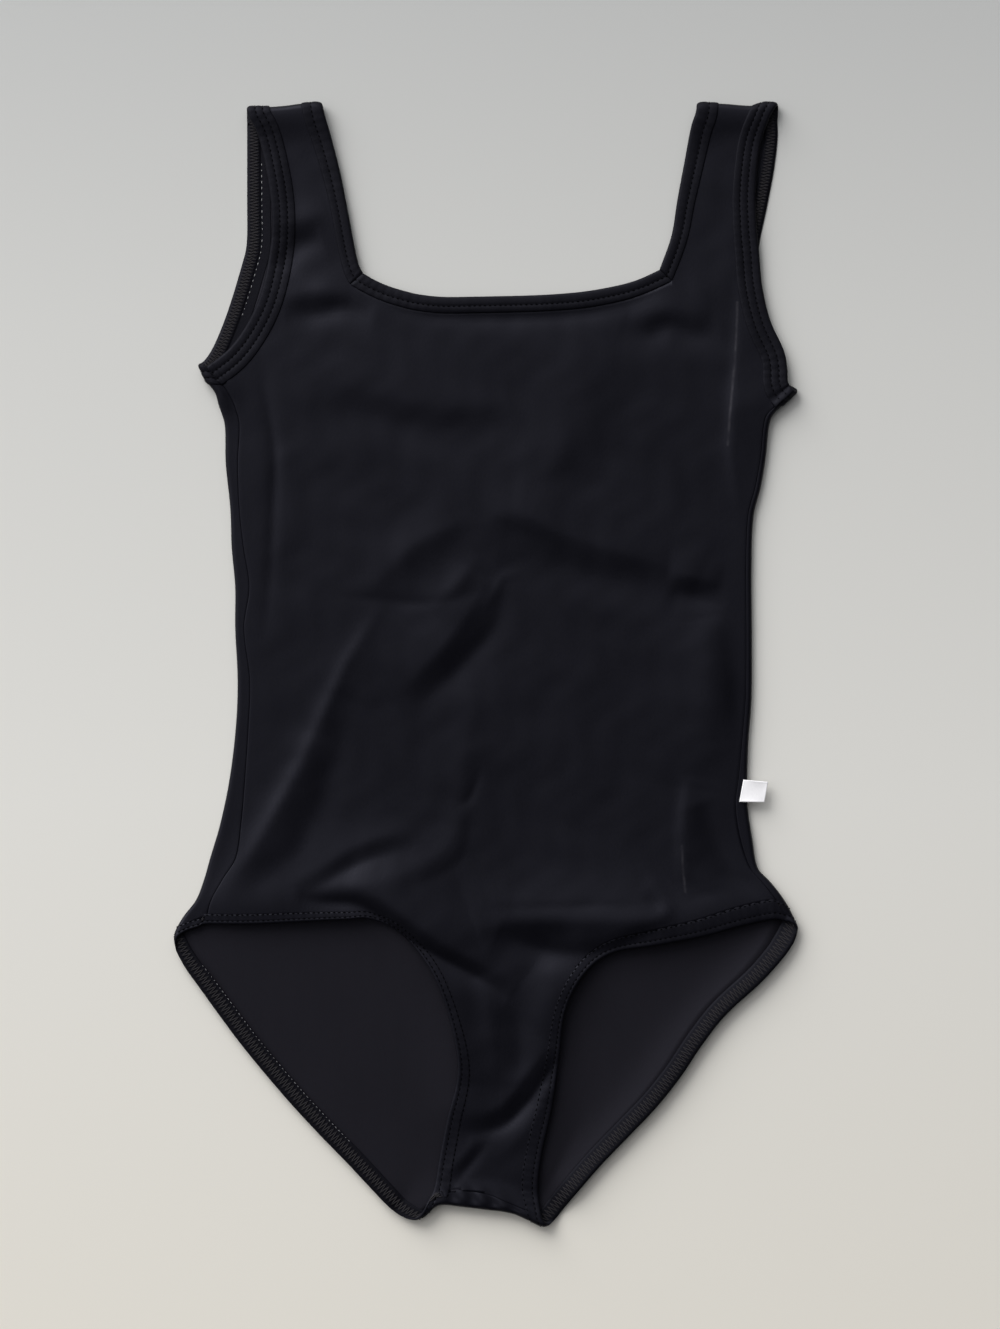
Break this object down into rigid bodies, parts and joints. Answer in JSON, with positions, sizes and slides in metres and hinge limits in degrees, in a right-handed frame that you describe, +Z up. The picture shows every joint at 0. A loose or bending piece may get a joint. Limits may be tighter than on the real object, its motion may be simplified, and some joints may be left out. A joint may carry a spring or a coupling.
{
  "type": "leotard",
  "caption": "Plain black tank leotard with a square neck and a scooped back, laid flat front up, with bound edges, hemmed leg openings and a small side tab.",
  "frame": {"origin": "centre of the laid-out garment, on the surface that it lies on", "axes": "+Y from the crotch to the shoulders, +X to the right of the layout seen from above, +Z up"},
  "size_m": [0.3542, 0.6393, 0.0115],
  "materials": {
    "cloth": "smooth knitted nylon with elastane, matt with a soft sheen",
    "elastic": "the same knit over elastic, ridged by its stitching",
    "tape": "fine white woven tape"
  },
  "bodies": {
    "root": {"front_panel": "cloth", "back_panel": "cloth", "neck_binding_front": "elastic", "neck_binding_back": "elastic", "armhole_binding_left": "elastic", "armhole_binding_right": "elastic", "leg_hem_left": "elastic", "leg_hem_right": "elastic", "side_label": "tape"}
  },
  "joints": []
}
